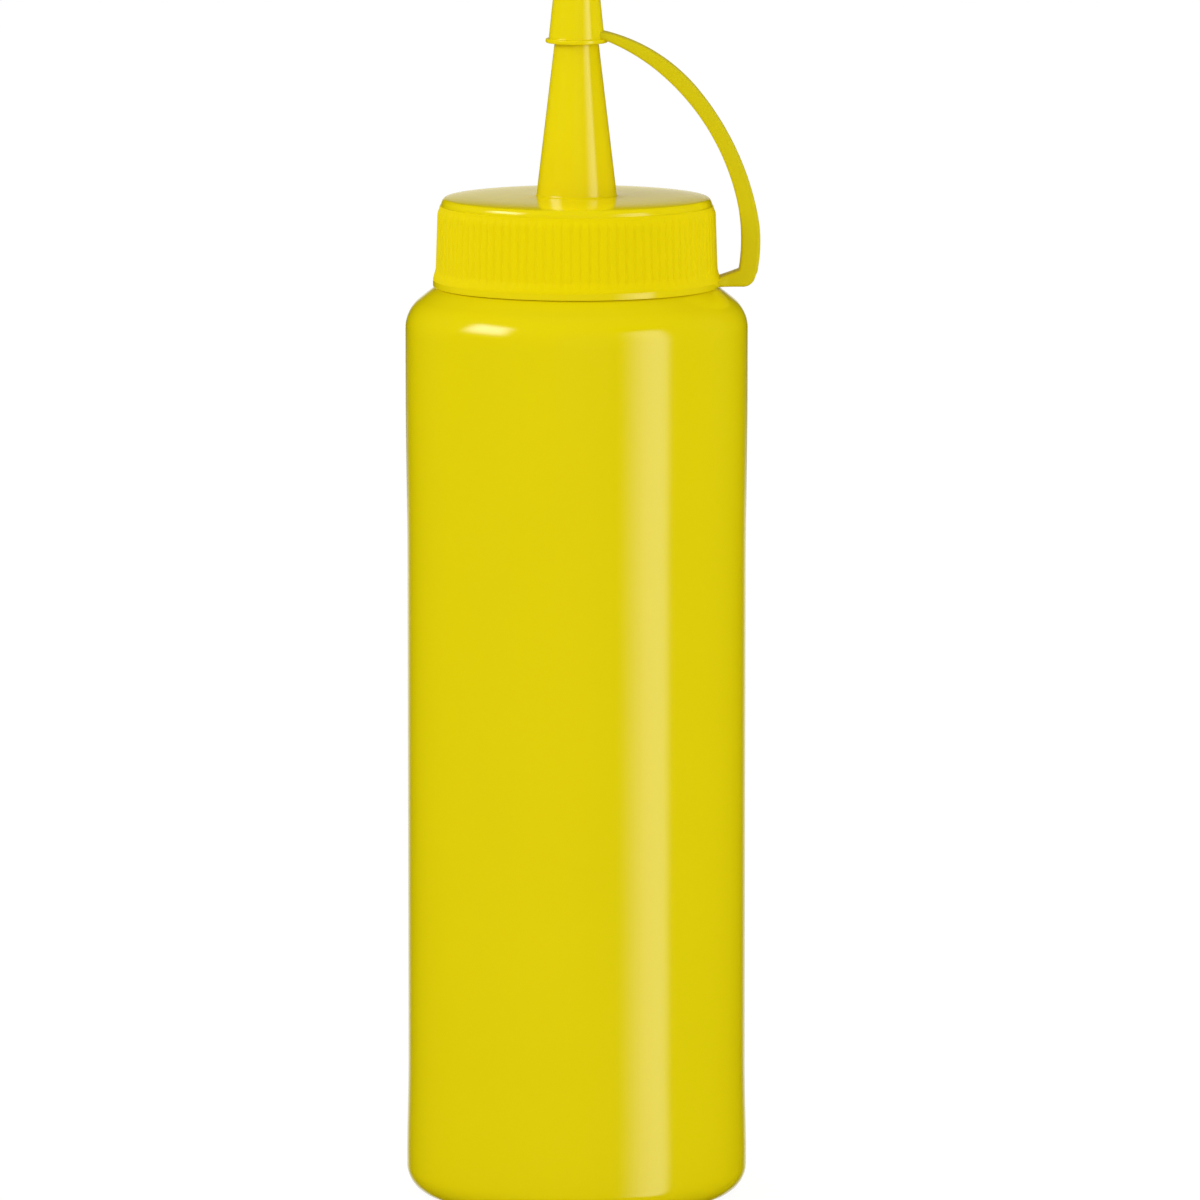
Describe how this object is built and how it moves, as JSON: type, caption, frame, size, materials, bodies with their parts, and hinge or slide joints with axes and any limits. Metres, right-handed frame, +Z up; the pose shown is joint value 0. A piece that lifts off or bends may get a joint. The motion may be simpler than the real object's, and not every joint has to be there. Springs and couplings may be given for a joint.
{
  "type": "condiment squeeze bottle",
  "caption": "Round glossy yellow squeeze bottle for sauces, with a ribbed screw cap, a long cone nozzle and a tip cap held by an arched tether.",
  "frame": {"origin": "on the bottle's axis, in the plane of its standing ring", "axes": "+Z up along the bottle's axis; +X towards the tether; -Y is the side that the picture faces"},
  "size_m": [0.0573, 0.0554, 0.205],
  "materials": {
    "body_plastic": "gloss",
    "closure_plastic": "gloss"
  },
  "bodies": {
    "root": {"bottle": "body_plastic", "closure": "closure_plastic"}
  },
  "joints": []
}
